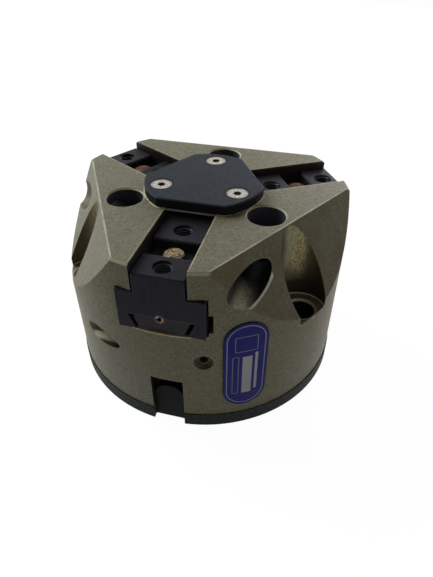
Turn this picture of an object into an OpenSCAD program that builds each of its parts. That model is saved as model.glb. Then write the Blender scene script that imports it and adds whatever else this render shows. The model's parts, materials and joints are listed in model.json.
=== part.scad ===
// Three-jaw centric gripper with a pneumatic piston and a wedge-hook drive.
// Z is the centric axis and Z = 0 is the mounting face. The front jaw points along -Y.
// Rest position: jaws closed and flush with the housing, piston at the bottom of its stroke.

/* [Housing] */
// Diameter of the housing
body_d = 84; // [83:0.5:88]
// Height of the top face above the mounting face
body_top = 55.5; // [55:0.5:58]
// Angle of the three sloped faces, from the horizontal
slope_angle = 62.3; // [61:0.1:64]
// Distance from the axis to the upper edge of each sloped face
slope_reach = 30.3; // [30:0.1:31.5]
// Bevel round the outer edge of the top face
tip_bevel = 0.7; // [0.4:0.1:1.6]
// Width of the notch in the wall under the front jaw
notch_w = 9.3; // [8:0.1:11]
// Height of the notch above the mounting face
notch_h = 18.2; // [16:0.1:20]
// Depth of the notch, from the outside of the wall
notch_depth = 3.9; // [3:0.1:4.5]

/* [Bolts and bores] */
// Distance from the housing's side in to the middle of each through bolt
mount_edge = 4.5; // [4.2:0.1:5]
// Diameter of the holes for the through bolts
mount_hole_d = 7.8; // [6.6:0.1:8]
// Diameter of the pockets for the bolt heads
pocket_d = 14; // [12:0.2:15]
// Height of the seat under each bolt head
pocket_seat = 31.5; // [30:0.5:34]
// Diameter of the three bores in the top face
top_bore_d = 10.4; // [9:0.1:11]
// Pitch circle of the three bores in the top face
top_bore_pcd = 46.5; // [46:0.1:48]
// Depth of the three bores in the top face
top_bore_depth = 19; // [14:0.5:20]
// Diameter of the sensor bore beside each jaw
sensor_bore_d = 8.3; // [8:0.1:8.6]
// Depth of the sensor bore's axis below the top face
sensor_bore_drop = 7.3; // [7:0.1:8]
// Width of the bevels on bore mouths
mouth_bevel = 0.4; // [0.2:0.1:0.6]

/* [Air ports] */
// Thread diameter of the air ports
port_thread_d = 5; // [4:0.1:5]
// Depth of the threaded ports
port_depth = 7; // [5:0.5:8]
// Diameter of the air drillings
drilling_d = 2.4; // [1.6:0.1:2.6]
// Direction of the plugged port round the housing
purge_angle = -75.6; // [-78:0.1:-70]
// Height of the plugged port
purge_z = 26.4; // [26:0.1:28]
// Diameter of the plugged port's mouth
purge_mouth_d = 5.3; // [5.2:0.1:6]
// Diameter of the port drilled along the left wall
side_port_d = 5.5; // [5:0.1:6]
// Height of the port drilled along the left wall
side_port_z = 25.5; // [24:0.1:27]
// Depth of the side port's middle inside the housing's side
side_port_inset = 4; // [3.8:0.1:4.5]
// Turn of the side port away from the X axis
side_port_turn = -5; // [-8:0.5:0]
// Distance from the side port's end to where its line passes nearest the centric axis
side_port_end = 5; // [2:0.5:8]

/* [Cover plate] */
// Thickness of the cover plate above the top face
plate_h = 2.7; // [2.2:0.1:4]
// Radius of the cover plate's rounded corners from the axis
plate_r = 17.4; // [16.5:0.1:18]
// Distance from the axis to the cover plate's three flats
plate_flat_reach = 14.5; // [14:0.1:15.2]
// Depth of the tongues that close the jaw slots under the plate
plate_tongue = 0.7; // [0.4:0.1:1]
// Bevel round the cover plate's upper edge
plate_bevel = 0.3; // [0.1:0.1:0.6]
// Pitch circle of the cover plate's screws
plate_pcd = 25.3; // [25:0.1:26]

/* [Base cover] */
// How far the base cover stands out past the housing's side
base_lip = 0.3; // [0:0.1:1]
// Thickness of the base cover's flange
base_h = 4.6; // [4:0.1:5]
// Height of the tongue that stands in the housing's notch
tongue_h = 13.6; // [10:0.2:14.6]
// Depth of the tongue's face behind the housing's wall
tongue_sunk = 1.7; // [1:0.1:2]
// Height of the spigot that closes the cylinder
spigot_h = 3; // [2.8:0.1:4]
// Pitch circle of the base cover's screws
base_pcd = 68.4; // [68:0.2:70]
// Number of the base cover's screws
base_screws = 6; // [3, 6]
// Diameter of the two locating bores
locating_d = 5; // [3:0.5:5]
// Pitch circle of the two locating bores
locating_pcd = 66; // [64:0.5:68]

/* [Jaws] */
// Stroke of each jaw
jaw_stroke = 6; // [4:0.5:6.5]
// Width of a jaw's neck in the top slot
neck_w = 13.2; // [12:0.1:13.6]
// Width of a jaw's guide flange
flange_w = 22.9; // [22:0.1:23.2]
// Height of a jaw's guide flange
flange_h = 11.75; // [11:0.05:12]
// Drop of the jaws' top below the top face
jaw_drop = 2.3; // [2:0.1:3]
// Setback of a closed jaw's front face from the housing's side
jaw_recess = 0.4; // [0:0.1:1]
// Distance from the axis to a closed jaw's nose
nose_reach = 4.6; // [4.4:0.1:5.2]
// Height of the guides' floor above the mounting face
guide_floor = 35.6; // [35:0.1:36]
// Side gap between a jaw's flange and its guide
guide_gap = 0.4; // [0.1:0.05:0.5]
// Gap above and below a jaw's flange
guide_play = 0.15; // [0.05:0.05:0.2]
// Side gap between a jaw's neck and its slot
neck_gap = 0.53; // [0.3:0.01:0.7]
// Bevel on a jaw's upper edges
jaw_bevel = 0.4; // [0.2:0.1:0.6]

/* [Finger seats] */
// Distance from a jaw's front face in to its outer finger screw
finger_edge = 4.2; // [3.8:0.1:4.6]
// Distance from the axis to a jaw's inner finger screw
finger_inner = 20.7; // [20:0.1:21.5]
// Thread diameter of the finger screws
finger_thread_d = 5; // [4:0.5:5]
// Diameter of the bevelled mouths of the finger threads
finger_mouth_d = 5.4; // [5.2:0.1:6.2]
// Depth of the finger screws' threads
finger_depth = 11; // [8:0.5:11.5]
// Distance from the axis to the middle of the key groove
key_reach = 29.3; // [29:0.1:29.6]
// Width of the key groove across each jaw
key_w = 7; // [6:0.1:7.4]
// Depth of the key groove
key_depth = 3.4; // [3:0.1:3.8]
// Diameter of the vent plug in each key groove
vent_d = 5.4; // [4:0.1:5.8]
// Height of the vent plug's rim above the groove's floor
vent_rise = 1.6; // [0.8:0.1:2]
// Height of the vent plug's dome above its rim
vent_dome = 0.6; // [0.4:0.1:1]

/* [Switch cams] */
// Width of the cam groove at its top
cam_top_w = 17.8; // [16:0.1:18.4]
// Width of the cam groove at its mouth
cam_mouth_w = 13.8; // [12:0.1:14.4]
// Height of the cam groove
cam_h = 4.65; // [4:0.05:5]
// Length of each switch cam
cam_length = 11; // [8:0.5:14]
// Gap that each cam leaves on both sides of its groove
cam_side_gap = 1.2; // [0.8:0.1:1.6]
// Bevel on each cam's upper corner
cam_bevel = 1.2; // [0.4:0.1:1.6]
// Diameter of each cam's clamping screw
cam_screw_d = 2.8; // [2:0.1:3.4]

/* [Drive] */
// Stroke of the piston
piston_stroke = 8; // [7:0.5:8.5]
// Bore of the cylinder
cylinder_d = 56; // [54:0.5:57]
// Height of the piston's head
piston_h = 7.8; // [7.6:0.1:8.4]
// Diameter of the piston rod
rod_d = 16; // [14:0.5:18]
// Length of the bush that guides the piston rod
bush_h = 6; // [5.6:0.1:6.4]
// Diameter of the wedge hook's foot
hook_d = 31; // [29:0.5:31.5]
// Diameter of the wedge hook's upper part between its wedges
hook_top_d = 19.6; // [17:0.1:20]
// Width of the wedge hook's three wedges
wedge_w = 12.6; // [11:0.1:13]
// Width of the wedge hook's rails at their heads
rail_w = 8.8; // [7.6:0.1:9.6]
// Width of the rails at their necks
rail_neck_w = 5.2; // [4:0.1:6]
// Thickness of the rails' heads and necks
rail_t = 2.2; // [1.8:0.1:2.4]

/* [Label] */
// Direction of the label round the housing
label_angle = -60.3; // [-61:0.1:-58]
// Width of the label
label_w = 12.2; // [10:0.2:13]
// Height of the label
label_h = 31.2; // [24:0.2:32]
// Height of the label's lower end above the mounting face
label_low = 8.3; // [7:0.1:9]
// Thickness of the label
label_t = 0.4; // [0.3:0.1:0.6]

/* [Fits] */
// Radial clearance of running fits
running_fit = 0.05; // [0.02:0.01:0.08]
// Gap between parts that only pass each other
free_gap = 0.3; // [0.2:0.05:0.35]

/* [Hidden] */
$fn = 96;

// Directions of the jaws and of the sectors between them
front = -90;
right = 30;
left = 150;
jaw_angles = [front, right, left];
sector_angles = [for (a = jaw_angles) a + 60];
body_r = body_d / 2;
base_r = body_r + base_lip;
mount_reach = body_r - mount_edge;
side_port_reach = body_r - side_port_inset;
cut = 1;             // how far a cutting solid runs past what it cuts
far = body_d;        // longer than any cut across the housing

// Heights of the drive, from the mounting face up
cylinder_floor = base_h + spigot_h;
piston_low = cylinder_floor + free_gap;
piston_top = piston_low + piston_h;
cylinder_top = piston_top + piston_stroke + free_gap;
recess_floor = cylinder_top + bush_h;
hook_low = recess_floor + free_gap;
tongue_low = body_top - plate_tongue;
hook_top = tongue_low - piston_stroke - free_gap;

// Heights of the jaws and of their guides
flange_low = guide_floor + guide_play;
flange_top = flange_low + flange_h;
guide_top = flange_top + guide_play;
jaw_top = body_top - jaw_drop;
jaw_front = body_r - jaw_recess;
finger_outer = jaw_front - finger_edge;
slot_w = neck_w + 2 * neck_gap;
guide_w = flange_w + 2 * guide_gap;
groove_floor = jaw_top - key_depth;

// The wedge: a closed jaw's inner face runs from wedge_r(flange_low) in to its nose
wedge_ratio = jaw_stroke / piston_stroke;
wedge_tilt = atan(wedge_ratio);
nose_z = flange_top + free_gap;
function wedge_r(z) = nose_reach + (nose_z - z) * wedge_ratio;
rail_depth = 2 * rail_t;
rail_reach = wedge_r(hook_low) + rail_depth / cos(wedge_tilt);
hook_step = guide_top - piston_stroke - free_gap;
core_r = hook_d / 2 + 2 * free_gap;
core_top_r = hook_top_d / 2 + free_gap;

// Seals and screws
seal_t = 1.8;
seal_groove = 2.2;
thread_gap = 0.05;
thread_spare = 1;     // how much deeper a tapped hole is than its screw
plate_screw_r = 1.5;
plate_head_r = 2.95;
plate_head_sunk = 0.15;
plate_socket_w = 2;
plate_thread = 6;
base_screw_r = 2;
base_head_r = 3.8;
base_socket_w = 2.5;
base_thread = 9;
hook_screw_r = 2.5;
hook_head_r = 4.25;
hook_head_h = 5;
hook_socket_w = 4;
hook_thread = 14;
plug_length = 4.5;
plug_sunk = 1.2;
plug_socket_w = 2.2;
cam_screw_length = 5;
cam_socket_w = 1.3;
socket_share = 0.55;  // depth of a hexagon socket, as a share of the screw head's height

// Details of the housing
relief_depth = 1.15;
relief_rise = 1.35;
relief_low = guide_floor + relief_rise;
relief_h = 5.85;
plate_tongue_t = 2;
port_angles = [70, 110];
port_inset = 1.6;     // from an end of the cylinder to the middle of its air drilling
port_heights = [cylinder_floor + port_inset, cylinder_top - port_inset];

// Details of the moving parts
piston_step_h = 2;
piston_step = 3;
rail_root = 3;
mitre_reach = 0.5;
vent_depth = 4;
cam_fit = 0.1;
cam_screw_drop = 0.5;
cam_screw_side = -0.4;

module at_jaws() for (a = jaw_angles) rotate(a) children();
module at_sectors() for (a = sector_angles) rotate(a) children();

// A box from x0 to x1, centred on y = 0, from z0 to z1
module beam(x0, x1, w, z0, z1) translate([x0, -w / 2, z0]) cube([x1 - x0, w, z1 - z0]);

// A round bar along +X, starting at x = 0
module along_x(d, length) rotate([0, 90, 0]) cylinder(d = d, h = length);

module ring(outer_r, inner_r, h) rotate_extrude()
    translate([inner_r, 0]) square([outer_r - inner_r, h]);

// A bore from the origin down, with a bevelled mouth
module bore(d, depth, bevel) {
    translate([0, 0, -depth]) cylinder(d = d, h = depth + cut);
    translate([0, 0, -bevel]) cylinder(d1 = d, d2 = d + 2 * (bevel + cut), h = bevel + cut);
}

// A 2D profile, drawn in Y and Z, run from x0 to x1
module profile_along_x(x0, x1) translate([x0, 0, 0]) rotate([90, 0, 90])
    linear_extrude(x1 - x0) children();

// A bar w wide and h high with round ends, standing on the origin
module round_bar(w, h) {
    translate([0, w / 2]) circle(d = w);
    translate([0, h - w / 2]) circle(d = w);
    translate([-w / 2, w / 2]) square([w, h - w]);
}

module hexagon_socket(w, depth) translate([0, 0, -depth])
    cylinder(d = w / cos(30), h = depth + cut, $fn = 6);

// A countersunk screw, head at the origin and pointing down
module countersunk_screw(r, head_r, length, socket_w) difference() {
    union() {
        translate([0, 0, r - head_r]) cylinder(r1 = r, r2 = head_r, h = head_r - r);
        translate([0, 0, -length]) cylinder(r = r, h = length + r - head_r);
    }
    hexagon_socket(socket_w, 2 * socket_share * (head_r - r));
}

// The hole for a countersunk screw, from the origin down
module countersink(r, head_r, length) {
    translate([0, 0, r - head_r]) cylinder(r1 = r, r2 = head_r + cut, h = head_r - r + cut);
    translate([0, 0, -length]) cylinder(r = r, h = length + r - head_r);
}

// A set screw along X, its socket end at the origin and its point at x = -length
module set_screw(d, length, socket_w) difference() {
    translate([-length, 0, 0]) along_x(d, length);
    rotate([0, 90, 0]) hexagon_socket(socket_w, length / 2);
}

// ---- Housing ----

// The solid outside one sloped face
module slope_cut() translate([slope_reach, 0, body_top]) rotate([0, slope_angle, 0])
    translate([-far / 2, -far / 2, 0]) cube([far * 1.5, far, far]);

// The T-shaped guide of one jaw, with the relief groove on its left wall
module guide_cut() {
    beam(0, far, slot_w, guide_floor, body_top + cut);
    beam(0, far, guide_w, guide_floor, guide_top);
    translate([0, guide_w / 2 - cut, relief_low]) cube([far, relief_depth + cut, relief_h]);
}

// The sensor bore beside one jaw, which runs on into the bore in the top face
module sensor_cut() translate([top_bore_pcd / 2 * cos(60), top_bore_pcd / 2 * sin(60),
    body_top - sensor_bore_drop]) along_x(sensor_bore_d, far);

module pocket_cut() translate([mount_reach, 0, 0]) {
    translate([0, 0, pocket_seat]) cylinder(d = pocket_d, h = far);
    translate([0, 0, pocket_seat]) bore(mount_hole_d, pocket_seat, mouth_bevel);
}

// Room for the wedge hook: the recess over the bush, its three rail slots and the core above
module core_cut() {
    translate([0, 0, recess_floor]) cylinder(r = core_r, h = guide_top + free_gap - recess_floor);
    translate([0, 0, guide_top - cut]) cylinder(r = core_top_r, h = body_top - guide_top + 2 * cut);
    at_jaws() beam(0, rail_reach + free_gap, rail_w + 2 * free_gap, recess_floor, guide_floor + cut);
}

module cylinder_cut() {
    translate([0, 0, -cut]) cylinder(d = cylinder_d, h = cylinder_top + cut);
    cylinder(r = rod_d / 2 + running_fit, h = recess_floor + cut);
    translate([0, 0, cylinder_top + (bush_h - seal_groove) / 2])
        cylinder(r = rod_d / 2 + seal_groove, h = seal_groove);
}

// The plugged port, its drilling inwards and the drilling up into the front jaw's guide
module purge_cut() rotate(purge_angle) {
    rise = body_r - port_depth - drilling_d;
    translate([body_r - port_depth, 0, purge_z]) along_x(port_thread_d + 2 * thread_gap, far);
    translate([body_r - plug_sunk, 0, purge_z]) along_x(purge_mouth_d, far);
    translate([rise, 0, purge_z]) along_x(drilling_d, port_depth);
    translate([rise, 0, purge_z]) cylinder(d = drilling_d, h = guide_floor - purge_z + cut);
}

module air_port_cut(angle, z) rotate(angle) translate([0, 0, z]) {
    translate([cylinder_d / 2 - cut, 0, 0]) along_x(drilling_d, far);
    translate([body_r - port_depth, 0, 0]) along_x(port_thread_d, far);
}

module side_port_cut() rotate(side_port_turn)
    translate([-far, -side_port_reach, side_port_z]) along_x(side_port_d, far - side_port_end);

module housing() color([0.46, 0.45, 0.39]) difference() {
    union() {
        translate([0, 0, base_h]) cylinder(r = body_r, h = body_top - tip_bevel - base_h);
        translate([0, 0, body_top - tip_bevel])
            cylinder(r1 = body_r, r2 = body_r - tip_bevel, h = tip_bevel);
    }
    at_sectors() slope_cut();
    at_sectors() pocket_cut();
    at_sectors() translate([top_bore_pcd / 2, 0, body_top])
        bore(top_bore_d, top_bore_depth, mouth_bevel);
    at_sectors() translate([plate_pcd / 2, 0, body_top - plate_thread])
        cylinder(r = plate_screw_r + thread_gap, h = plate_thread + cut);
    at_jaws() guide_cut();
    at_jaws() sensor_cut();
    core_cut();
    cylinder_cut();
    purge_cut();
    side_port_cut();
    for (i = [0 : len(port_angles) - 1]) air_port_cut(port_angles[i], port_heights[i]);
    rotate(front) beam(body_r - notch_depth, far, notch_w, 0, notch_h);
    at_base_screws() cylinder(r = base_screw_r + thread_gap, h = base_h + base_thread);
}

module purge_port_plug() color([0.35, 0.31, 0.27]) rotate(purge_angle)
    translate([body_r - plug_sunk, 0, purge_z]) set_screw(port_thread_d, plug_length, plug_socket_w);

// The wiper ring round the piston rod
module rod_seal() color([0.12, 0.12, 0.12])
    translate([0, 0, cylinder_top + bush_h / 2]) seal_ring(rod_d / 2 + running_fit + seal_t / 2);

module label_plate() color([0.1, 0.1, 0.36]) intersection() {
    translate([0, 0, label_low]) ring(body_r + label_t, body_r, label_h);
    rotate(label_angle) profile_along_x(0, far) translate([0, label_low]) round_bar(label_w, label_h);
}

// ---- Base cover ----

module at_base_screws() for (i = [0 : base_screws - 1]) rotate(i * 360 / base_screws)
    translate([base_pcd / 2, 0, 0]) children();

// The tongue with a round top that keys the base cover into the housing's notch
module cover_tongue() {
    w = notch_w - 2 * free_gap;
    back = body_r - notch_depth + free_gap;
    rotate(front) intersection() {
        beam(back, body_r - tongue_sunk, w, 0, tongue_h);
        union() {
            beam(back, body_r, w, 0, tongue_h - w / 2);
            translate([back, 0, tongue_h - w / 2]) along_x(w, notch_depth);
        }
    }
}

module base_cover() color([0.15, 0.18, 0.19]) {
    difference() {
        union() {
            cylinder(r = base_r, h = base_h);
            cylinder(r = cylinder_d / 2 - running_fit, h = cylinder_floor);
        }
        rotate(front) beam(body_r - tongue_sunk, far, notch_w, -cut, base_h + cut);
        at_sectors() translate([mount_reach, 0, -cut]) cylinder(d = mount_hole_d, h = far);
        for (a = [right, left]) rotate(a) translate([locating_pcd / 2, 0, -cut])
            cylinder(d = locating_d, h = far);
        at_base_screws() mirror([0, 0, 1])
            countersink(base_screw_r + thread_gap, base_head_r, base_h + cut);
        translate([0, 0, cylinder_floor - (spigot_h + seal_groove) / 2]) seal_groove_cut(cylinder_d / 2);
    }
    cover_tongue();
}

module base_cover_seal() color([0.12, 0.12, 0.12])
    translate([0, 0, cylinder_floor - spigot_h / 2]) seal_ring(cylinder_d / 2 - running_fit - seal_t / 2);

module base_cover_screws() color([0.3, 0.3, 0.3]) at_base_screws() mirror([0, 0, 1])
    countersunk_screw(base_screw_r, base_head_r, base_h + base_thread - thread_spare, base_socket_w);

// ---- Cover plate ----

// The plate's outline, drawn in by an inset
module plate_outline(inset) difference() {
    circle(plate_r - inset);
    at_jaws() translate([plate_flat_reach - inset, -far / 2]) square(far);
}

module cover_plate() color([0.23, 0.24, 0.28]) difference() {
    union() {
        translate([0, 0, body_top]) linear_extrude(plate_h) plate_outline(0);
        at_jaws() beam(plate_flat_reach - plate_tongue_t, plate_flat_reach, slot_w - 2 * guide_play,
            tongue_low, body_top + cut);
    }
    translate([0, 0, body_top + plate_h - plate_bevel]) difference() {
        cylinder(r = plate_r + cut, h = plate_bevel + cut);
        cylinder(r1 = plate_r, r2 = plate_r - plate_bevel - cut, h = plate_bevel + cut);
    }
    at_jaws() translate([plate_flat_reach, 0, body_top + plate_h - plate_bevel]) rotate([0, 45, 0])
        translate([-far / 2, -far / 2, 0]) cube(far);
    at_plate_screws() countersink(plate_screw_r + thread_gap, plate_head_r, plate_h + cut);
}

module at_plate_screws() at_sectors()
    translate([plate_pcd / 2, 0, body_top + plate_h - plate_head_sunk]) children();

module cover_plate_screws() color([0.72, 0.72, 0.7]) at_plate_screws()
    countersunk_screw(plate_screw_r, plate_head_r, plate_h + plate_thread - thread_spare, plate_socket_w);

// ---- Piston and wedge hook ----

// A round seal whose section is centred at radius r and on the plane z = 0
module seal_ring(r) rotate_extrude() translate([r, 0]) circle(d = seal_t);

// The groove for a seal in a round part that fills a bore of radius r
module seal_groove_cut(r)
    ring(r + cut, r - running_fit - seal_t - thread_gap, seal_groove);

module piston() color([0.62, 0.63, 0.64]) difference() {
    union() {
        translate([0, 0, piston_low]) cylinder(r = cylinder_d / 2 - piston_step, h = piston_h);
        translate([0, 0, piston_low + piston_step_h])
            cylinder(r = cylinder_d / 2 - running_fit, h = piston_h - 2 * piston_step_h);
        translate([0, 0, piston_low]) cylinder(d = rod_d, h = hook_low - piston_low);
    }
    translate([0, 0, piston_low + (piston_h - seal_groove) / 2]) seal_groove_cut(cylinder_d / 2);
    translate([0, 0, hook_low - hook_thread])
        cylinder(r = hook_screw_r + thread_gap, h = hook_thread + cut);
}

module piston_seal() color([0.12, 0.12, 0.12])
    translate([0, 0, piston_low + piston_h / 2]) seal_ring(cylinder_d / 2 - running_fit - seal_t / 2);

// The frame of one wedge plane: X is its outward normal, Z runs up along the plane
module on_wedge() translate([wedge_r(guide_floor), 0, guide_floor]) rotate([0, -wedge_tilt, 0])
    children();

// A T-shaped rail that runs along the wedge plane, widened all round by gap
module rail(gap) on_wedge() translate([0, 0, -far / 2]) linear_extrude(far) {
    translate([-rail_root, -rail_neck_w / 2 - gap]) square([rail_root + rail_depth, rail_neck_w + 2 * gap]);
    translate([rail_t - gap, -rail_w / 2 - gap]) square([rail_t + 2 * gap, rail_w + 2 * gap]);
}

module wedge_hook() color([0.3, 0.3, 0.32]) difference() {
    union() {
        difference() {
            union() {
                translate([0, 0, hook_low]) cylinder(d = hook_d, h = hook_step - hook_low);
                translate([0, 0, hook_low]) cylinder(d = hook_top_d, h = hook_top - hook_low);
                at_jaws() beam(0, hook_d / 2, wedge_w, hook_step - cut, hook_top);
            }
            at_jaws() on_wedge() translate([0, -far / 2, -far]) cube([far, far, 2 * far]);
        }
        at_jaws() intersection() {
            rail(0);
            beam(0, far, far, hook_low, hook_top);
        }
    }
    translate([0, 0, hook_low - cut]) cylinder(r = hook_screw_r + running_fit, h = far);
    translate([0, 0, hook_top - hook_head_h - free_gap]) cylinder(r = hook_head_r + free_gap / 2, h = far);
}

module hook_screw() color([0.2, 0.2, 0.22]) {
    seat = hook_top - hook_head_h - free_gap;
    difference() {
        union() {
            translate([0, 0, seat]) cylinder(r = hook_head_r, h = hook_head_h);
            translate([0, 0, hook_low - hook_thread + thread_spare])
                cylinder(r = hook_screw_r, h = seat - hook_low + hook_thread);
        }
        translate([0, 0, hook_top - free_gap]) hexagon_socket(hook_socket_w, socket_share * hook_head_h);
    }
}

// ---- Jaws, drawn pointing along +X ----

// The dovetail groove for the switch cam, drawn in by the gap
module cam_outline(gap, low, high) {
    lean = (cam_top_w - cam_mouth_w) / 2 / cam_h;
    function half_w(z) = cam_mouth_w / 2 + (z - flange_low) * lean;
    polygon([[gap - half_w(low), low], [half_w(low) - gap, low],
        [half_w(high) - gap, high], [gap - half_w(high), high]]);
}

module cam_screw_place(x) translate([x, cam_screw_side, flange_low + cam_h - cam_screw_drop]) children();

// Everything nearer the axis than the wedge plane, the nose and the neighbouring jaws
module nose_cut() {
    on_wedge() translate([-far, -far / 2, -far]) cube([far + running_fit, far, 2 * far]);
    translate([-far, -far / 2, 0]) cube([far + nose_reach, far, far]);
    for (side = [-1, 1]) scale([1, side, 1]) translate([mitre_reach, 0, 0]) rotate(60)
        translate([-far, 0, 0]) cube([2 * far, far, far]);
}

// Bevels along the upper edges of a block from x0 to x1
module bevel_cut(x0, x1) {
    for (x = [x0, x1]) translate([x, 0, jaw_top]) rotate([0, 45, 0])
        cube([jaw_bevel * sqrt(2), far, jaw_bevel * sqrt(2)], center = true);
}

module base_jaw() color([0.16, 0.15, 0.19]) difference() {
    union() {
        beam(0, jaw_front, flange_w, flange_low, flange_top);
        beam(0, jaw_front, neck_w, flange_low, jaw_top);
    }
    nose_cut();
    rail(running_fit);
    beam(key_reach - key_w / 2, key_reach + key_w / 2, far, groove_floor, body_top);
    bevel_cut(key_reach - key_w / 2, key_reach + key_w / 2);
    bevel_cut(jaw_front, jaw_front + far);
    for (x = [finger_inner, finger_outer]) translate([x, 0, jaw_top])
        bore(finger_thread_d, finger_depth, (finger_mouth_d - finger_thread_d) / 2);
    translate([key_reach, 0, groove_floor - vent_depth])
        cylinder(r = vent_d / 2 + thread_gap, h = vent_depth + cut);
    profile_along_x(jaw_front - cam_length - cam_fit, far)
        cam_outline(0, flange_low - cut, flange_low + cam_h);
    cam_screw_place(jaw_front - cam_screw_length - cam_fit) along_x(cam_screw_d + 2 * thread_gap, far);
}

module vent_plug() color([0.72, 0.58, 0.33]) {
    dome_r = (pow(vent_d / 2, 2) + pow(vent_dome, 2)) / (2 * vent_dome);
    rim = groove_floor + vent_rise;
    intersection() {
        translate([key_reach, 0, groove_floor - vent_depth])
            cylinder(d = vent_d, h = vent_depth + vent_rise + vent_dome);
        union() {
            beam(0, far, far, 0, rim);
            translate([key_reach, 0, rim + vent_dome - dome_r]) sphere(r = dome_r);
        }
    }
}

module switch_cam() color([0.2, 0.2, 0.22]) difference() {
    profile_along_x(jaw_front - cam_length, jaw_front - cam_fit) difference() {
        cam_outline(cam_side_gap, flange_low + cam_fit, flange_low + cam_h - cam_fit);
        translate([cam_side_gap - cam_top_w / 2, flange_low + cam_h - cam_fit]) rotate(45)
            square(cam_bevel * sqrt(2), center = true);
    }
    cam_screw_place(jaw_front - cam_screw_length - cam_fit) along_x(cam_screw_d + 2 * thread_gap, far);
}

module cam_screw() color([0.72, 0.45, 0.26])
    cam_screw_place(jaw_front - cam_fit) set_screw(cam_screw_d, cam_screw_length, cam_socket_w);

housing();
base_cover();
base_cover_seal();
base_cover_screws();
cover_plate();
cover_plate_screws();
purge_port_plug();
rod_seal();
label_plate();
piston();
piston_seal();
wedge_hook();
hook_screw();
rotate(front) base_jaw();  // base_jaw_front
rotate(right) base_jaw();  // base_jaw_right
rotate(left) base_jaw();  // base_jaw_left
rotate(front) vent_plug();  // vent_plug_front
rotate(right) vent_plug();  // vent_plug_right
rotate(left) vent_plug();  // vent_plug_left
rotate(front) switch_cam();  // switch_cam_front
rotate(right) switch_cam();  // switch_cam_right
rotate(left) switch_cam();  // switch_cam_left
rotate(front) cam_screw();  // cam_screw_front
rotate(right) cam_screw();  // cam_screw_right
rotate(left) cam_screw();  // cam_screw_left
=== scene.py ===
"""Looks of a three jaw centric gripper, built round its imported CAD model. Lengths are in metres."""

import json
import math
import random

import bmesh
import bpy
from mathutils import Matrix, Vector


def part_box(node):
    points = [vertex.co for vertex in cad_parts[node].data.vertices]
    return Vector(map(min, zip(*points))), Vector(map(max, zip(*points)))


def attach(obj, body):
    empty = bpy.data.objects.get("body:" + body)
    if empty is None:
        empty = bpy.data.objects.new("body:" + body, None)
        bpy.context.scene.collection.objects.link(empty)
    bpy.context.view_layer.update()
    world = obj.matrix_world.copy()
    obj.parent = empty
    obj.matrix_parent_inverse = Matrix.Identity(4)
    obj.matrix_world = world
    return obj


MM = 0.001
SIDES = {"front": -90, "right": 30, "left": 150}     # the jaws' directions, in degrees
THIRD = math.radians(120)
FIRST_JAW = math.radians(SIDES["front"])
FIRST_SECTOR = FIRST_JAW + THIRD / 2

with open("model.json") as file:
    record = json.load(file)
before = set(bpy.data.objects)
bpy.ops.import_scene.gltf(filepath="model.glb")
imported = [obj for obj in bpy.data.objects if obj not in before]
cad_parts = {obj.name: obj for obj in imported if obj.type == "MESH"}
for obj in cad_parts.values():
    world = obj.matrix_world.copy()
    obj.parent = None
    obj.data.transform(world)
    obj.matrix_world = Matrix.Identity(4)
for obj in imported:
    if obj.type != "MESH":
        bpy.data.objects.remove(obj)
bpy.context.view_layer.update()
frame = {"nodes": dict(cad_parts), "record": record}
nodes = frame["nodes"]
mounts = {mount["name"]: mount for mount in frame["record"]["mounts"]}

TOP_FACE = mounts["top_bores"]["pos_m"][2]
JAW_TOP = mounts["finger_threads_front"]["pos_m"][2]
BODY_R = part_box("housing")[1][1]                      # the housing's back, which no slope cuts
BOLT_REACH = mounts["mounting_bolts"]["dims"]["pcd_mm"] / 2 * MM
BOLT_R = mounts["mounting_bolts"]["dims"]["hole_r_mm"] * MM
TOP_BORE_REACH = mounts["top_bores"]["dims"]["pcd_mm"] / 2 * MM
TOP_BORE_R = mounts["top_bores"]["dims"]["hole_r_mm"] * MM
SENSOR_R = mounts["sensor_bore_front"]["dims"]["r_mm"] * MM
SENSOR_SIDE = mounts["sensor_bore_front"]["pos_m"][0]
SENSOR_Z = mounts["sensor_bore_front"]["pos_m"][2]
THREAD_R = mounts["finger_threads_front"]["dims"]["hole_r_mm"] * MM
THREAD_MIDDLE = -mounts["finger_threads_front"]["pos_m"][1]
THREAD_SPAN = mounts["finger_threads_front"]["dims"]["pcd_mm"] * MM
KEY_REACH = -mounts["key_groove_front"]["pos_m"][1]

# Lengths of the solids that the record doesn't state. A reach is a distance from the centric axis.
TIP_BEVEL = 0.7 * MM
SLOPE_REACH = 30.3 * MM                               # a sloped face's upper edge
SLOPE_TILT = math.radians(62.3)
POCKET_R = 7.0 * MM                                   # the pockets for the bolts' heads
POCKET_SEAT = 31.5 * MM
SLOT_HALF = 7.2 * MM                                  # half the width of a jaw's slot
GUIDE_HALF = 11.9 * MM
GUIDE_FLOOR = 35.6 * MM
GUIDE_TOP = 47.7 * MM
NOTCH_HALF = 4.65 * MM                                # the notch that the base cover's tongue stands in
NOTCH_TOP = 18.2 * MM
PLATE_R = 17.4 * MM
PLATE_FLAT = 14.5 * MM
PLATE_SCREW_REACH = 12.65 * MM
PLATE_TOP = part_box("cover_plate")[1][2]
LABEL_ANGLE = math.radians(-60.3)
LABEL_W = 12.2 * MM
LABEL_H = 31.2 * MM
LABEL_LOW = 8.3 * MM
# Fields on the label: the middle across and along from the label's own, and half the size each way
LABEL_FIELDS = ((0.4 * MM, -3.4 * MM, 1.35 * MM, 7.2 * MM), (2.9 * MM, -2.4 * MM, 0.4 * MM, 7.2 * MM))
LABEL_OUTLINES = ((-2.8 * MM, -3.2 * MM, 0.8 * MM, 7.2 * MM), (0.0, 8.4 * MM, 3.0 * MM, 2.6 * MM))
CAM_SCREW = (-0.4 * MM, 39.9 * MM)                    # sideways and up
SIDE_PORT_TURN = math.radians(-5)
SIDE_PORT_REACH = 38 * MM
SIDE_PORT_Z = 25.5 * MM
SIDE_PORT_R = 2.75 * MM

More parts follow.
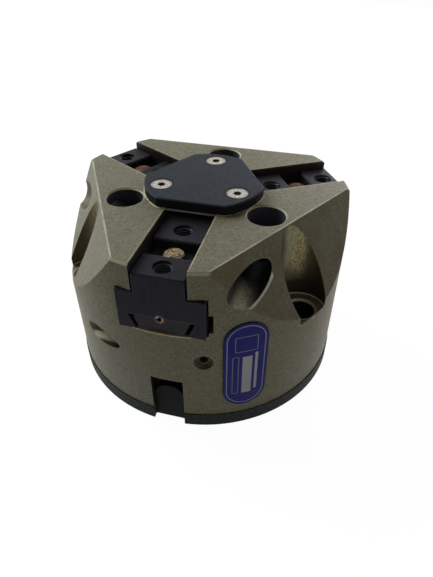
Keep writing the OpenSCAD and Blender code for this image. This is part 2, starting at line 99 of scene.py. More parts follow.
FLOOR_SIZE = 6.0
LAMP_SIZE = 0.45
MIDDLE = Vector((0, 0, 0.03))                         # what every lamp faces


# ---- Camera, lights and stage ----

def add_camera():
    camera = bpy.data.objects.new("camera", bpy.data.cameras.new("camera"))
    camera.data.lens = 30.0
    camera.data.sensor_width = 36.0
    camera.data.clip_start = 0.01
    camera.location = (0.0351, -0.12252, 0.12025)
    look_at = Vector((0.00308, 0.00139, 0.01704))
    camera.rotation_euler = (look_at - camera.location).to_track_quat("-Z", "Y").to_euler()
    bpy.context.scene.collection.objects.link(camera)
    bpy.context.scene.camera = camera


def add_lamp(name, place, watts, colour=(1.0, 1.0, 1.0)):
    """A square soft box at place that faces the middle of the object."""
    lamp = bpy.data.lights.new(name, "AREA")
    lamp.size = LAMP_SIZE
    lamp.energy = watts
    lamp.color = colour
    holder = bpy.data.objects.new(name, lamp)
    holder.location = place
    holder.rotation_euler = (MIDDLE - holder.location).to_track_quat("-Z", "Y").to_euler()
    bpy.context.scene.collection.objects.link(holder)


def shown_white(tree, camera_share):
    """How white a ray sees a surface: camera_share for camera rays, 1 for mirrored ones, else 0."""
    path = tree.nodes.new("ShaderNodeLightPath")
    share = tree.nodes.new("ShaderNodeMath")
    share.operation = "MULTIPLY"
    share.inputs[1].default_value = camera_share
    tree.links.new(path.outputs["Is Camera Ray"], share.inputs[0])
    total = share.outputs[0]
    for ray in ("Is Glossy Ray", "Is Transmission Ray"):
        add = tree.nodes.new("ShaderNodeMath")
        add.operation = "MAXIMUM"
        tree.links.new(total, add.inputs[0])
        tree.links.new(path.outputs[ray], add.inputs[1])
        total = add.outputs[0]
    return total


def add_world():
    world = bpy.data.worlds.new("studio")
    world.use_nodes = True
    tree = world.node_tree
    tree.nodes.clear()
    out = tree.nodes.new("ShaderNodeOutputWorld")
    mix = tree.nodes.new("ShaderNodeMixShader")
    ambient = tree.nodes.new("ShaderNodeBackground")
    ambient.inputs["Color"].default_value = (1.0, 0.9, 0.76, 1)
    ambient.inputs["Strength"].default_value = 0.038
    white = tree.nodes.new("ShaderNodeBackground")
    white.inputs["Color"].default_value = (1, 1, 1, 1)
    tree.links.new(shown_white(tree, 1.0), mix.inputs[0])
    tree.links.new(ambient.outputs[0], mix.inputs[1])
    tree.links.new(white.outputs[0], mix.inputs[2])
    tree.links.new(mix.outputs[0], out.inputs[0])
    bpy.context.scene.world = world


def add_floor():
    """A pale floor that shows white where nothing shades it."""
    bpy.ops.mesh.primitive_plane_add(size=FLOOR_SIZE)
    floor = bpy.context.object
    floor.name = "floor"
    material = bpy.data.materials.new("floor")
    material.use_nodes = True
    tree = material.node_tree
    tree.nodes.clear()
    out = tree.nodes.new("ShaderNodeOutputMaterial")
    paint = tree.nodes.new("ShaderNodeBsdfDiffuse")
    paint.inputs["Color"].default_value = (0.85, 0.85, 0.85, 1)
    glow = tree.nodes.new("ShaderNodeEmission")
    glow.inputs["Strength"].default_value = 1.1
    mix = tree.nodes.new("ShaderNodeMixShader")
    tree.links.new(shown_white(tree, 0.88), mix.inputs[0])
    tree.links.new(paint.outputs[0], mix.inputs[1])
    tree.links.new(glow.outputs[0], mix.inputs[2])
    tree.links.new(mix.outputs[0], out.inputs[0])
    floor.data.materials.append(material)


# ---- Material tools ----

def srgb(r, g, b):
    """A colour given in 0..255, as linear values."""
    def linear(v):
        v /= 255
        return v / 12.92 if v <= 0.04045 else ((v + 0.055) / 1.055) ** 2.4
    return linear(r), linear(g), linear(b)


class Finish:
    """A Principled material and the nodes that feed it."""

    def __init__(self, name, roughness, metallic=0.0, specular=0.5):
        self.material = bpy.data.materials.new(name)
        self.material.use_nodes = True
        self.tree = self.material.node_tree
        self.shader = self.tree.nodes["Principled BSDF"]
        self.shader.inputs["Roughness"].default_value = roughness
        self.shader.inputs["Metallic"].default_value = metallic
        self.shader.inputs["Specular IOR Level"].default_value = specular
        self.place = self.add("ShaderNodeTexCoord").outputs["Object"]
        apart = self.add("ShaderNodeSeparateXYZ", Vector=self.place)
        self.x, self.y, self.z = apart.outputs

    def add(self, kind, **inputs):
        node = self.tree.nodes.new(kind)
        for key, value in inputs.items():
            self.feed(node.inputs[key], value)
        return node

    def feed(self, socket, value):
        if isinstance(value, bpy.types.NodeSocket):
            self.tree.links.new(value, socket)
        else:
            socket.default_value = value

    def math(self, operation, *values):
        node = self.tree.nodes.new("ShaderNodeMath")
        node.operation = operation
        for socket, value in zip(node.inputs, values):
            self.feed(socket, value)
        return node.outputs[0]

    def noise(self, size, detail=2.0, stretch=(1, 1, 1), rough=0.5):
        """Noise from 0 to 1 whose features are about size across."""
        scale = self.tree.nodes.new("ShaderNodeMapping")
        self.feed(scale.inputs["Vector"], self.place)
        scale.inputs["Scale"].default_value = stretch
        node = self.add("ShaderNodeTexNoise", Vector=scale.outputs[0], Scale=1.0 / size, Detail=detail,
                        Roughness=rough)
        return node.outputs["Fac"]

    def spread(self, value, low, high, out_low=0.0, out_high=1.0):
        """value mapped from low..high to out_low..out_high, held at the ends."""
        node = self.tree.nodes.new("ShaderNodeMapRange")
        for socket, number in zip(node.inputs, (value, low, high, out_low, out_high)):
            self.feed(socket, number)
        return node.outputs[0]

    def within(self, value, low, high, soft=0.05 * MM):
        """1 where value lies between low and high, 0 outside."""
        return self.both(self.spread(value, low - soft, low + soft),
                         self.spread(value, high + soft, high - soft))

    def chain(self, operation, *values):
        """One value after the other joined to the first by operation."""
        total = values[0]
        for value in values[1:]:
            total = self.math(operation, total, value)
        return total

    def plus(self, *values):
        return self.chain("ADD", *values)

    def minus(self, *values):
        return self.chain("SUBTRACT", *values)

    def both(self, *shares):
        """The product of all the shares: 1 only where each of them is 1."""
        return self.chain("MULTIPLY", *shares)

    def either(self, *shares):
        """The largest of the shares."""
        return self.chain("MAXIMUM", *shares)

    def size(self, value):
        return self.math("ABSOLUTE", value)

    def distance(self, u, v, u_mid=0.0, v_mid=0.0):
        """How far the point (u, v) is from (u_mid, v_mid)."""
        du, dv = self.minus(u, u_mid), self.minus(v, v_mid)
        return self.math("SQRT", self.plus(self.both(du, du), self.both(dv, dv)))

    def turned(self, angle):
        """The place along and off a line that is turned by angle from X."""
        c, s = math.cos(angle), math.sin(angle)
        return (self.plus(self.both(self.x, c), self.both(self.y, s)),
                self.minus(self.both(self.y, c), self.both(self.x, s)))

    def sector(self, first):
        """The place in its third of a turn: how far out along the third's middle, and how far sideways."""
        angle = self.minus(self.math("ARCTAN2", self.y, self.x), first)
        turned = self.math("WRAP", angle, THIRD / 2, -THIRD / 2)
        radius = self.distance(self.x, self.y)
        return (self.both(radius, self.math("COSINE", turned)),
                self.both(radius, self.math("SINE", turned)))

    def front(self):
        """1 round the front jaw, 0 elsewhere."""
        return self.spread(self.y, -20 * MM, -25 * MM)

    def right(self):
        """1 on the right half of the part, 0 on the left."""
        return self.spread(self.x, 0.0, MM)

    def near_top(self, depth):
        """1 from the top face down to depth below it, 0 further down."""
        return self.spread(self.z, TOP_FACE - depth, TOP_FACE - depth + 0.1 * MM)

    def past_plate(self):
        """How far the place lies outside the cover plate's outline, and below 0 how far inside."""
        out, _ = self.sector(FIRST_JAW)
        return self.either(self.minus(self.distance(self.x, self.y), PLATE_R), self.minus(out, PLATE_FLAT))

    def from_thread(self):
        """How far the place is from the middle of the nearer finger thread in its jaw."""
        out, side = self.sector(FIRST_JAW)
        return self.distance(self.minus(self.size(self.minus(out, THREAD_MIDDLE)), THREAD_SPAN / 2), side)

    def mix(self, share, a, b):
        """Colour a turned into colour b by share."""
        node = self.tree.nodes.new("ShaderNodeMix")
        node.data_type = "RGBA"
        colours = [s for s in node.inputs if s.type == "RGBA"]
        self.feed(node.inputs[0], share)
        self.feed(colours[0], a if isinstance(a, bpy.types.NodeSocket) else (*a, 1))
        self.feed(colours[1], b if isinstance(b, bpy.types.NodeSocket) else (*b, 1))
        return [s for s in node.outputs if s.type == "RGBA"][0]

    def rounded(self, width):
        """The normal that a surface has once its edges are rounded over width."""
        bevel = self.tree.nodes.new("ShaderNodeBevel")
        bevel.samples = 6
        bevel.inputs["Radius"].default_value = width
        return bevel.outputs[0]

    def edges(self, width):
        """0 on flat surfaces, up to 1 within width of a sharp edge."""
        flat = self.tree.nodes.new("ShaderNodeNewGeometry").outputs["Normal"]
        dot = self.tree.nodes.new("ShaderNodeVectorMath")
        dot.operation = "DOT_PRODUCT"
        self.feed(dot.inputs[0], self.rounded(width))
        self.feed(dot.inputs[1], flat)
        return self.spread(dot.outputs["Value"], 1.0, 0.9)

    def colour(self, value):
        self.feed(self.shader.inputs["Base Color"], value)

    def bump(self, height, depth, rounding=0.0):
        """Relief as deep as depth, over edges that are rounded over rounding."""
        node = self.add("ShaderNodeBump", Height=height, Distance=depth)
        if rounding:
            self.feed(node.inputs["Normal"], self.rounded(rounding))
        self.feed(self.shader.inputs["Normal"], node.outputs[0])


# ---- Materials ----

def skin(f, mottle, grain):
    """Mottled, grainy anodising, with painted highlights along its edges and on the bevels at the tips."""
    cloud = f.noise(6 * MM, 4, rough=0.6)
    body = f.mix(f.spread(cloud, 0.35, 0.65), srgb(120, 115, 92), srgb(132, 129, 106))
    body = f.mix(f.spread(f.noise(11 * MM, 3), 0.5, 0.7, 0.0, 0.4), body, srgb(134, 116, 92))
    body = f.mix(f.spread(mottle, 0.35, 0.68, 0.0, 0.7), body, srgb(154, 152, 132))
    body = f.mix(f.spread(grain, 0.35, 0.7, 0.0, 0.8), body, srgb(92, 88, 66))
    # A painted highlight along sharp edges.
    body = f.mix(f.both(f.edges(0.3 * MM), 0.6), body, srgb(196, 192, 166))
    # The bevels at the tips carry a painted highlight.
    bevel_reach = BODY_R - TIP_BEVEL
    bevel = f.both(f.spread(f.distance(f.x, f.y), bevel_reach, bevel_reach + 0.1 * MM),
                   f.near_top(TIP_BEVEL))
    return f.mix(f.both(bevel, 0.85), body, srgb(212, 208, 178))


def guide_shade_and_glints(f, body):
    """Walls in the jaws' slots and guides and in the notch, painted dark as shade, with painted highlights
    along their edges.
    """
    _, side = f.sector(FIRST_JAW)
    across = f.size(side)
    slot = f.both(f.spread(across, SLOT_HALF, SLOT_HALF - 0.05 * MM),
                  f.spread(f.z, TOP_FACE - 0.15 * MM, TOP_FACE - 0.6 * MM),
                  f.spread(f.z, GUIDE_TOP - 0.1 * MM, GUIDE_TOP))
    guide = f.both(f.spread(across, GUIDE_HALF, GUIDE_HALF - 0.05 * MM),
                   f.within(f.z, GUIDE_FLOOR - 0.2 * MM, GUIDE_TOP + 0.1 * MM))
    notch = f.both(f.front(), f.spread(across, NOTCH_HALF + 0.05 * MM, NOTCH_HALF + 0.02 * MM),
                   f.spread(f.z, NOTCH_TOP + 0.05 * MM, NOTCH_TOP + 0.02 * MM))
    # Painted shade on the slot and guide walls and in the notch.
    body = f.mix(f.either(slot, guide, notch), body, srgb(22, 20, 18))
    # A painted highlight along the slots' top edges.
    lip_glint = f.both(f.within(across, SLOT_HALF - 0.05 * MM, SLOT_HALF + 0.25 * MM, 0.02 * MM),
                 f.near_top(0.3 * MM), f.spread(f.noise(2 * MM, 2), 0.35, 0.6, 0.2, 0.65))
    body = f.mix(lip_glint, body, srgb(214, 206, 168))
    # A painted highlight along the guides' floors near the outer face.
    sill_glint = f.both(f.spread(across, GUIDE_HALF, GUIDE_HALF - 0.1 * MM),
                  f.spread(f.distance(f.x, f.y), BODY_R - 1.2 * MM, BODY_R - MM),
                  f.within(f.z, GUIDE_FLOOR - 0.35 * MM, GUIDE_FLOOR + 0.05 * MM))
    return f.mix(sill_glint, body, srgb(228, 218, 176))


def plate_foot(f, body):
    """Bare metal along the cover plate's foot, painted bright as a highlight."""
    # A painted highlight along the plate's foot.
    glint = f.both(f.within(f.past_plate(), -0.1 * MM, 0.4 * MM), f.near_top(0.2 * MM),
                   f.spread(f.noise(1.5 * MM, 2), 0.3, 0.5))
    return f.mix(glint, body, srgb(232, 226, 184))


def sensor_bores(f, body):
    """A painted highlight crescent beside the front bore, whose floor has a painted pool of light; all are
    painted dark as shade further in.
    """
    out, side = f.sector(FIRST_JAW)
    du, dz = f.minus(side, SENSOR_SIDE), f.minus(f.z, SENSOR_Z)
    bore = f.distance(du, dz)
    lit_from, dark_from = 34 * MM, 26 * MM                # reaches
    aslant = f.minus(f.both(du, 0.74), f.both(dz, 0.67))  # towards the crescent's middle, beside and below
    # The crescent is a painted highlight.
    width = f.spread(aslant, 0.72 * SENSOR_R, 1.05 * SENSOR_R, -0.1 * MM, 0.75 * MM)
    crescent = f.spread(f.minus(bore, width), SENSOR_R + 0.15 * MM, SENSOR_R + 0.05 * MM)
    body = f.mix(f.both(crescent, f.front()), body, srgb(255, 255, 242))
    rings = f.noise(0.8 * MM, 3, stretch=(1, 1, 0.5))
    # A painted pool of light along the front bore's floor.
    floor = f.both(f.spread(dz, -0.4 * SENSOR_R, -0.95 * SENSOR_R),
                   f.spread(du, 0.5 * SENSOR_R, -0.1 * SENSOR_R),
                   f.spread(du, -0.98 * SENSOR_R, -0.6 * SENSOR_R), f.spread(rings, 0.35, 0.6, 0.6, 1.0))
    bore_light_and_shade = f.mix(f.front(), body, f.mix(floor, srgb(42, 40, 36), srgb(250, 250, 228)))
    # Painted shade deeper in every bore.
    bore_light_and_shade = f.mix(f.spread(out, lit_from, dark_from), bore_light_and_shade, srgb(10, 9, 10))
    return f.mix(f.spread(bore, SENSOR_R + 0.12 * MM, SENSOR_R + 0.05 * MM), body, bore_light_and_shade)


def sloped_faces(f, body):
    """A painted highlight along each upper edge; the right face is painted a little darker as shade, with
    brown blotches.
    """
    out, _ = f.sector(FIRST_SECTOR)
    # A painted highlight along the upper edge.
    brink_highlight = f.both(f.within(out, SLOPE_REACH - 0.4 * MM, SLOPE_REACH + 0.05 * MM), f.near_top(0.3 * MM),
                   f.spread(f.noise(5 * MM, 2), 0.35, 0.6, 0.4, 0.95))
    body = f.mix(brink_highlight, body, srgb(206, 204, 180))
    off_face = f.plus(f.both(f.minus(out, SLOPE_REACH), math.sin(SLOPE_TILT)),
                      f.both(f.minus(f.z, TOP_FACE), math.cos(SLOPE_TILT)))
    right_face = f.both(f.within(off_face, -0.1 * MM, 0.1 * MM), f.right(), f.spread(f.y, 0.0, -MM))
    # The right face is painted darker as shade.
    body = f.mix(f.both(right_face, 0.13), body, srgb(0, 0, 0))
    blotches = f.spread(f.noise(7 * MM, 3), 0.42, 0.62, 0.0, 0.45)
    return f.mix(f.both(right_face, blotches), body, srgb(98, 80, 54))


def top_bores(f, body):
    """Bores in the top face: painted dark as shade below a thin rim, whose painted highlight is bright at
    the back and faint in front.
    """
    bore = f.distance(*f.sector(FIRST_SECTOR), TOP_BORE_REACH)
    # Painted shade on the bore walls.
    depth = f.spread(f.z, TOP_FACE - 0.4 * MM, TOP_FACE - 1.4 * MM)
    wall = f.mix(depth, srgb(76, 72, 58), srgb(76, 78, 90))
    body = f.mix(f.spread(bore, TOP_BORE_R + 0.1 * MM, TOP_BORE_R + 0.02 * MM), body, wall)
    # A painted highlight on the rim, brighter at the back.
    mouth_highlight = f.both(f.within(bore, TOP_BORE_R, TOP_BORE_R + 0.32 * MM, 0.02 * MM), f.near_top(0.5 * MM),
                   f.spread(f.y, -15 * MM, -8 * MM, 0.3, 0.95))
    return f.mix(mouth_highlight, body, srgb(214, 208, 184))


def pocket_walls(f, out, side):
    """Drilled streaks: golden and brightened as painted light in the front pockets, brown in the left one;
    painted shade over part of the right one and towards the seat; plain at the back.
    """
    right = f.right()
    streaks = f.plus(f.both(f.noise(0.8 * MM, 4, stretch=(1, 1, 0.35)), 0.4),
                     f.both(f.noise(0.45 * MM, 3, stretch=(1, 1, 0.8)), 0.6))
    streaks = f.spread(streaks, 0.38, 0.62)
    # The golden streaks are brightened as painted light; the back pockets keep the plain colour.
    wall = f.mix(streaks, srgb(138, 127, 93), srgb(246, 233, 183))
    grey = f.both(right, f.spread(side, 0.5 * POCKET_R, 0.2 * POCKET_R, 0.0, 0.55))
    wall = f.mix(grey, wall, srgb(146, 154, 134))
    # Painted shade over the right pocket's left part.
    shade = f.both(right, f.spread(side, 0.12 * POCKET_R, -0.25 * POCKET_R))
    wall = f.mix(shade, wall, srgb(50, 50, 40))
    wall = f.mix(f.spread(right, 0, 1, 0.7, 0.0), wall, srgb(116, 98, 62))
    outer = f.minus(out, BOLT_REACH)
    wall = f.mix(f.spread(outer, -0.75 * POCKET_R, -0.15 * POCKET_R), wall, srgb(84, 78, 64))
    outer_right = f.both(right, f.spread(outer, -0.68 * POCKET_R, -0.48 * POCKET_R, 0, 0.8))
    wall = f.mix(outer_right, wall, srgb(74, 58, 36))
    # Painted shade towards the seat, darkest in the right pocket.
    foot = f.mix(right, srgb(106, 98, 76), srgb(42, 36, 28))
    foot_fades, foot_full = POCKET_SEAT + 11.5 * MM, POCKET_SEAT + 4.5 * MM
    wall = f.mix(f.spread(f.z, foot_fades, foot_full), wall, foot)
    plain = f.mix(streaks, srgb(96, 90, 68), srgb(124, 118, 92))
    return f.mix(f.spread(f.y, 0.0, MM), wall, plain)


def bolt_pockets(f, body):
    """Drilled pocket walls down to the seat, with painted highlights round the hole and along the seat's
    outer edge, and the hole painted black as shade.
    """
    out, side = f.sector(FIRST_SECTOR)
    pocket = f.distance(out, side, BOLT_REACH)
    in_pocket = f.both(f.spread(pocket, POCKET_R + 0.05 * MM, POCKET_R + 0.02 * MM),
                       f.spread(f.z, POCKET_SEAT - 0.01 * MM, POCKET_SEAT + 0.05 * MM))
    body = f.mix(in_pocket, body, pocket_walls(f, out, side))
    # The bolt hole is painted black as shade.
    in_hole = f.both(f.spread(pocket, BOLT_R + 0.1 * MM, BOLT_R + 0.05 * MM),
                     f.spread(f.z, POCKET_SEAT - 0.4 * MM, POCKET_SEAT - 0.8 * MM))
    body = f.mix(in_hole, body, srgb(8, 8, 10))
    # A painted highlight round the hole.
    lip_glint = f.both(f.within(pocket, BOLT_R - 0.1 * MM, BOLT_R + 0.6 * MM),
                 f.within(f.z, POCKET_SEAT - 0.6 * MM, POCKET_SEAT + 0.1 * MM))
    body = f.mix(f.both(lip_glint, 0.9), body, srgb(246, 242, 220))
    # A painted highlight on the seat's outer edge.
    seat_edge_glint = f.both(f.within(pocket, POCKET_R - 0.35 * MM, POCKET_R + 0.2 * MM),
                       f.within(f.z, POCKET_SEAT - 0.1 * MM, POCKET_SEAT + 0.25 * MM))
    return f.mix(f.both(seat_edge_glint, 0.9), body, srgb(246, 240, 216))


def side_port(f, body):
    """The port along the wall: a painted pool of light low in it, painted shade in brown above and olive
    below it, and painted dark shade further in.
    """
    along, off = f.turned(SIDE_PORT_TURN)
    bore = f.distance(off, f.z, -SIDE_PORT_REACH, SIDE_PORT_Z)
    in_port = f.both(f.spread(bore, SIDE_PORT_R + 0.1 * MM, SIDE_PORT_R + 0.05 * MM),
                     f.spread(along, 0.0, -MM))
    round_it = f.math("ARCTAN2", f.minus(f.z, SIDE_PORT_Z), f.plus(off, SIDE_PORT_REACH))
    # The angles round the port, and the places along it, over which one colour turns into the next
    olive_full, olive_fades, brown_fades, brown_full = (math.radians(a) for a in (-86, -66, -42, -32))
    mouth_fades, mouth_full, dark_fades, dark_full = (x * MM for x in (-20.5, -22, -13.6, -12.2))
    # A painted pool of light low in the port, with painted shade round it and further in.
    wall = f.mix(f.spread(round_it, brown_fades, brown_full), srgb(255, 246, 214), srgb(74, 56, 42))
    wall = f.mix(f.spread(along, mouth_fades, mouth_full), wall, srgb(112, 106, 82))
    wall = f.mix(f.spread(round_it, olive_fades, olive_full), wall, srgb(66, 64, 46))
    wall = f.mix(f.spread(along, dark_fades, dark_full), wall, srgb(14, 11, 8))
    return f.mix(in_port, body, wall)


def anodised():
    f = Finish("hard_anodised", roughness=0.52, specular=0.18)
    mottle = f.noise(0.9 * MM, 3)
    grain = f.noise(0.35 * MM, 2)
    body = skin(f, mottle, grain)
    for paint in (guide_shade_and_glints, plate_foot, sensor_bores, sloped_faces, top_bores, bolt_pockets, side_port):
        body = paint(f, body)
    f.colour(body)
    f.feed(f.shader.inputs["Roughness"], f.spread(grain, 0.3, 0.7, 0.44, 0.6))
    f.bump(f.plus(grain, f.both(mottle, 0.6)), 0.02 * MM, rounding=0.3 * MM)
    return f.material


def base_paint():
    f = Finish("base_cover_anodised", roughness=0.6, specular=0.06)
    speckle = f.noise(0.7 * MM, 3)
    body = f.mix(f.spread(speckle, 0.35, 0.7), srgb(30, 38, 40), srgb(62, 70, 68))
    _, side = f.sector(FIRST_JAW)
    # The base cover in the notch is painted near black as shade.
    tongue = f.both(f.spread(f.size(side), NOTCH_HALF, NOTCH_HALF - 0.1 * MM),
                    f.spread(f.y, -BODY_R + 5 * MM, -BODY_R + 4 * MM), f.spread(f.z, 0.0, 0.2 * MM))
    body = f.mix(tongue, body, srgb(4, 6, 9))
    # A painted highlight along the edges.
    f.colour(f.mix(f.both(f.edges(0.2 * MM), 0.35), body, srgb(96, 104, 100)))
    f.bump(speckle, 0.03 * MM)
    return f.material


def plate_black():
    f = Finish("cover_plate_black", roughness=0.55, specular=0.08)
    grain = f.noise(0.45 * MM, 2)
    cloud = f.noise(5 * MM, 3)
    body = f.mix(f.spread(cloud, 0.35, 0.65), srgb(28, 33, 40), srgb(36, 41, 49))
    body = f.mix(f.spread(grain, 0.4, 0.7, 0.0, 0.6), body, srgb(66, 70, 80))
    seat = f.distance(*f.sector(FIRST_SECTOR), PLATE_SCREW_REACH)
    # Painted shade in the gap round each screw's head.
    shade_r, shade_full_r = 3.8 * MM, 3.3 * MM            # round each screw's head
    body = f.mix(f.both(f.spread(seat, shade_r, shade_full_r), 0.85), body, srgb(3, 3, 4))
    # A painted highlight along the edges.
    body = f.mix(f.both(f.edges(0.2 * MM), 0.3), body, srgb(84, 88, 104))
    # The plate's side wall is painted darker as shade.
    wall = f.both(f.spread(f.past_plate(), -0.1 * MM, -0.05 * MM),
                  f.spread(f.z, PLATE_TOP - 0.25 * MM, PLATE_TOP - 0.45 * MM))
    body = f.mix(wall, body, srgb(22, 21, 27))
    # The tongues under the plate, painted lighter as a highlight, the front one brightest
    tongues = f.mix(f.spread(f.y, -12 * MM, -13 * MM), srgb(76, 80, 88), srgb(222, 232, 250))
    f.colour(f.mix(f.spread(f.z, TOP_FACE - 0.1 * MM, TOP_FACE - 0.2 * MM), body, tongues))
    f.bump(grain, 0.01 * MM)
    return f.material


def black_steel():
    f = Finish("blackened_steel", roughness=0.5, specular=0.08)
    lines = f.noise(0.9 * MM, 3, stretch=(1, 1, 0.08))
    grain = f.noise(0.4 * MM, 2)
    cloud = f.noise(4 * MM, 3)
    body = f.mix(f.spread(cloud, 0.35, 0.65), srgb(28, 26, 33), srgb(38, 35, 44))
    body = f.mix(f.spread(lines, 0.4, 0.7, 0.0, 0.4), body, srgb(54, 51, 62))
    body = f.mix(f.spread(grain, 0.4, 0.7, 0.0, 0.3), body, srgb(20, 18, 24))
    # The jaws' inner blocks are lighter, but for the left one, which is painted darker as the cover plate's
    # shade
    out, _ = f.sector(FIRST_JAW)
    inner = f.spread(out, KEY_REACH, KEY_REACH - MM)
    body = f.mix(f.both(inner, 0.7), body, srgb(58, 58, 64))
    body = f.mix(f.both(f.spread(f.x, -9 * MM, -10 * MM), inner), body, srgb(6, 5, 8))
    # A painted highlight along the edges.
    body = f.mix(f.both(f.edges(0.45 * MM), 0.7), body, srgb(92, 92, 120))
    # The finger holes are painted dark as shade.
    hole = f.spread(f.from_thread(), THREAD_R + 0.4 * MM, THREAD_R + 0.25 * MM)
    f.colour(f.mix(hole, body, srgb(14, 13, 16)))
    f.bump(f.plus(grain, lines), 0.01 * MM, rounding=0.4 * MM)
    return f.material


def thread_steel():
    f = Finish("thread_steel", roughness=0.4, specular=0.12)
    grain = f.noise(0.3 * MM, 2)
    # A painted highlight on the crests near the top, fading deeper down; the roots and the deeper thread
    # are painted dark as shade.
    crest = f.both(f.spread(f.from_thread(), THREAD_R - 0.22 * MM, THREAD_R - 0.34 * MM),
                   f.spread(f.z, JAW_TOP - 3 * MM, JAW_TOP - 1.4 * MM), f.spread(grain, 0.2, 0.5, 0.6, 1.0))
    f.colour(f.mix(crest, srgb(5, 4, 7), srgb(96, 92, 104)))
    f.bump(grain, 0.01 * MM)
    return f.material


def cam_steel():
    f = Finish("cam_blackened", roughness=0.45, specular=0.1)
    lines = f.noise(0.8 * MM, 2, stretch=(0.1, 0.1, 1))
    body = f.mix(f.spread(lines, 0.3, 0.8), srgb(28, 26, 30), srgb(46, 43, 46))
    # A painted highlight along the edges.
    f.colour(f.mix(f.both(f.edges(0.25 * MM), 0.4), body, srgb(92, 90, 104)))
    f.bump(lines, 0.01 * MM)
    return f.material


def stainless():
    f = Finish("stainless", roughness=0.4, metallic=0.4, specular=0.3)
    middle = f.distance(*f.sector(FIRST_SECTOR), PLATE_SCREW_REACH)
    rings = f.math("SINE", f.both(middle, 2 * math.pi / (0.35 * MM)))
    grain = f.noise(0.5 * MM, 2)
    body = f.mix(f.spread(grain, 0.38, 0.62), srgb(152, 148, 134), srgb(222, 220, 214))
    body = f.mix(f.spread(rings, -1, 1, 0.0, 0.3), body, srgb(130, 125, 116))
    groove_low_r, groove_high_r, socket_r, socket_full_r = (r * MM for r in (2.62, 2.78, 1.15, 1.05))
    body = f.mix(f.within(middle, groove_low_r, groove_high_r, 0.06 * MM), body, srgb(112, 107, 100))
    # The socket is painted dark as shade.
    f.colour(f.mix(f.spread(middle, socket_r, socket_full_r), body, srgb(104, 80, 66)))
    f.bump(rings, 0.004 * MM)
    return f.material


def sintered(name, light, dark):
    f = Finish(name, roughness=0.35, metallic=0.3)
    grains = f.add("ShaderNodeTexVoronoi", Vector=f.place, Scale=1 / (0.5 * MM)).outputs["Distance"]
    body = f.mix(f.spread(grains, 0.25, 0.65), light, dark)
    f.colour(f.mix(f.spread(f.noise(0.9 * MM, 3), 0.42, 0.56, 0.0, 0.9), body, dark))
    f.bump(f.minus(1.0, grains), 0.1 * MM)
    return f.material


def copper():
    f = Finish("coppered_steel", roughness=0.45, metallic=0.5)
    grain = f.noise(0.6 * MM, 3)
    _, side = f.sector(FIRST_JAW)
    # Beyond its middle the screw is painted dark as shade.
    rim = f.spread(f.distance(side, f.z, *CAM_SCREW), 0.95 * MM, 1.1 * MM)
    f.colour(f.mix(f.either(rim, f.spread(grain, 0.6, 0.48)), srgb(186, 138, 112), srgb(26, 20, 20)))
    f.bump(grain, 0.06 * MM)
    return f.material


def dull_steel():
    f = Finish("dull_steel", roughness=0.55, metallic=0.2, specular=0.2)
    grain = f.noise(0.5 * MM, 2)
    f.colour(f.mix(f.spread(grain, 0.3, 0.7), srgb(46, 38, 30), srgb(86, 76, 60)))
    f.bump(grain, 0.02 * MM)
    return f.material


def label_blue():
    """A plain blue name plate: a keyline, two blank fields and two outlined ones, with nothing written."""
    f = Finish("label_blue", roughness=0.45, specular=0.08)
    along = f.minus(f.z, LABEL_LOW + LABEL_H / 2)
    across = f.both(f.minus(f.math("ARCTAN2", f.y, f.x), LABEL_ANGLE), BODY_R)

    def past(u, v, half_u, half_v, corner):
        """How far the place lies outside a field with round corners whose middle is (u, v)."""
        du = f.minus(f.size(f.minus(across, u)), half_u - corner)
        dv = f.minus(f.size(f.minus(along, v)), half_v - corner)
        outside = f.distance(f.either(du, 0.0), f.either(dv, 0.0))
        return f.minus(f.plus(outside, f.math("MINIMUM", f.either(du, dv), 0.0)), corner)

    body = f.mix(f.spread(f.noise(4 * MM, 2), 0.3, 0.7), srgb(36, 36, 118), srgb(46, 44, 130))
    edge = past(0.0, 0.0, LABEL_W / 2, LABEL_H / 2, LABEL_W / 2)
    body = f.mix(f.spread(edge, -0.25 * MM, -0.1 * MM), body, srgb(24, 24, 60))
    ink = [f.within(edge, -1.05 * MM, -0.85 * MM)]
    for field in LABEL_FIELDS:
        ink.append(f.spread(past(*field, 0.2 * MM), 0.05 * MM, -0.05 * MM))
    for field in LABEL_OUTLINES:
        ink.append(f.both(f.within(past(*field, 0.4 * MM), -0.1 * MM, 0.1 * MM), 0.6))
    f.colour(f.mix(f.both(f.either(*ink), 0.85), body, srgb(206, 212, 214)))
    f.bump(f.noise(0.6 * MM, 2), 0.01 * MM)
    return f.material


def rubber():
    f = Finish("seal_rubber", roughness=0.7)
    grain = f.noise(0.4 * MM, 2)
    f.colour(f.mix(grain, srgb(18, 18, 18), srgb(30, 30, 30)))
    f.bump(grain, 0.01 * MM)
    return f.material


def ground_steel():
    f = Finish("ground_steel", roughness=0.35, metallic=0.9)
    lines = f.noise(0.5 * MM, 2, stretch=(1, 1, 0.1))
    f.colour(f.mix(lines, srgb(120, 120, 124), srgb(160, 160, 164)))
    f.bump(lines, 0.01 * MM)
    return f.material


def turned_aluminium():
    f = Finish("turned_aluminium", roughness=0.35, metallic=0.9)
    lines = f.noise(0.5 * MM, 2, stretch=(0.1, 0.1, 1))
    f.colour(f.mix(lines, srgb(180, 182, 184), srgb(205, 206, 208)))
    f.bump(lines, 0.01 * MM)
    return f.material


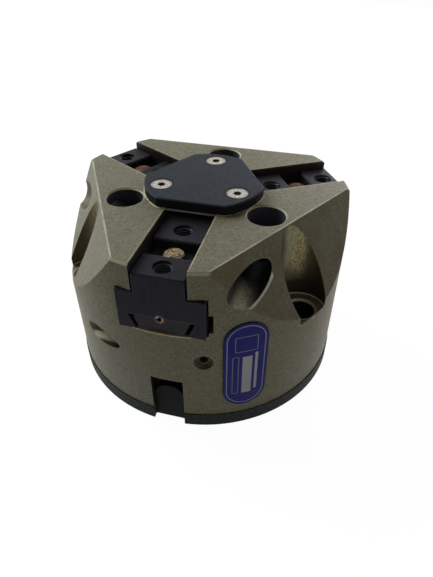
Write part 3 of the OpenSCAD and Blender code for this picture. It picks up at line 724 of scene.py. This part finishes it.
def dress_nodes():
    """Gives every CAD node its finish, by the record's material slots."""
    finishes = {
        "housing": anodised(), "base_cover": base_paint(), "cover_plate": plate_black(),
        "jaw": black_steel(), "switch_cam": cam_steel(), "hardened_steel": ground_steel(),
        "piston": turned_aluminium(), "screw": stainless(), "dark_screw": cam_steel(),
        "vent_plug": sintered("sintered_bronze", srgb(150, 92, 56), srgb(66, 34, 20)),
        "cam_screw": copper(), "port_plug": dull_steel(), "label": label_blue(), "seal": rubber(),
    }
    for row in frame["record"]["subparts"]:
        mesh = nodes[row["node"]].data
        mesh.materials.clear()
        mesh.materials.append(finishes[row["material_slot"]])


# ---- Small pieces ----

def add_piece(name, mesh, material, body, *, degrees=0.0):
    """An object drawn for a jaw that points along +X, turned by degrees and carried by body."""
    mesh.transform(Matrix.Rotation(math.radians(degrees), 4, "Z"))
    mesh.materials.append(material)
    piece = bpy.data.objects.new(name, mesh)
    bpy.context.scene.collection.objects.link(piece)
    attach(piece, body)


def thread_mesh(name, x):
    """The ridge of an M5 thread down a hole at x, as a helix with a sharp crest."""
    pitch, turns, steps = 0.8 * MM, 13, 24
    crest_r, foot_r, half_foot = THREAD_R - 0.38 * MM, THREAD_R + 0.02 * MM, 0.34 * MM
    first_z = JAW_TOP - 0.55 * MM
    section = ((foot_r, half_foot), (crest_r, 0.0), (foot_r, -half_foot))
    mesh = bmesh.new()
    last = None
    for i in range(turns * steps + 1):
        angle = 2 * math.pi * i / steps
        z = first_z - pitch * i / steps
        row = [mesh.verts.new((x + r * math.cos(angle), r * math.sin(angle), z + dz)) for r, dz in section]
        if last:
            for a, b in ((0, 1), (1, 2), (2, 0)):
                mesh.faces.new((last[a], last[b], row[b], row[a]))
        else:
            mesh.faces.new(row)
        last = row
    mesh.faces.new(reversed(last))
    bmesh.ops.recalc_face_normals(mesh, faces=mesh.faces)
    data = bpy.data.meshes.new(name)
    mesh.to_mesh(data)
    mesh.free()
    return data


def granules_mesh(name, seed):
    """Sintered granules over the dome of a vent plug."""
    chance = random.Random(seed)
    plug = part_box("vent_plug_front")
    top, plug_r = plug[1][2], (plug[1][0] - plug[0][0]) / 2
    rise, sunk, count = 0.6 * MM, 0.02 * MM, 120
    golden_angle = math.pi * (3 - math.sqrt(5))
    mesh = bmesh.new()
    for i in range(count):
        r = plug_r * 0.94 * math.sqrt((i + 0.5) / count)
        angle = i * golden_angle
        z = top - sunk - rise * (r / plug_r) ** 2
        size = chance.uniform(0.17, 0.27) * MM
        grain = bmesh.ops.create_icosphere(mesh, subdivisions=1, radius=size)
        spin = Matrix.Rotation(chance.uniform(0, 3), 4, "Z") @ Matrix.Diagonal((1, 1, 0.8, 1))
        place = Matrix.Translation((KEY_REACH + r * math.cos(angle), r * math.sin(angle), z))
        bmesh.ops.transform(mesh, matrix=place @ spin, verts=grain["verts"])
    for face in mesh.faces:
        face.smooth = True
    data = bpy.data.meshes.new(name)
    mesh.to_mesh(data)
    mesh.free()
    return data


def add_threads():
    steel = thread_steel()
    places = {"inner": THREAD_MIDDLE - THREAD_SPAN / 2, "outer": THREAD_MIDDLE + THREAD_SPAN / 2}
    for side, degrees in SIDES.items():
        for place, x in places.items():
            name = f"thread_{place}_{side}"
            add_piece(name, thread_mesh(name, x), steel, f"jaw_{side}", degrees=degrees)


def add_granules():
    # The front plug's granules are a lighter copy with painted highlights; the others keep the plain brown.
    bright = sintered("granules_painted_light", srgb(255, 255, 232), srgb(150, 124, 62))
    brown = sintered("brown_granules", srgb(176, 112, 70), srgb(92, 50, 30))
    for seed, (side, degrees) in enumerate(SIDES.items()):
        name = f"vent_granules_{side}"
        material = bright if side == "front" else brown
        add_piece(name, granules_mesh(name, seed), material, f"jaw_{side}", degrees=degrees)


add_camera()
add_world()
add_lamp("key", (-0.525, 0.215, 0.43), watts=3.95, colour=(0.95, 1.0, 0.99))
add_lamp("back", (0.205, 0.648, 0.19), watts=3.0)
add_lamp("fill", (0.525, -0.245, 0.12), watts=0.3, colour=(1.0, 0.9, 0.78))
add_floor()
dress_nodes()
add_threads()
add_granules()

bpy.context.scene.view_settings.view_transform = "Standard"
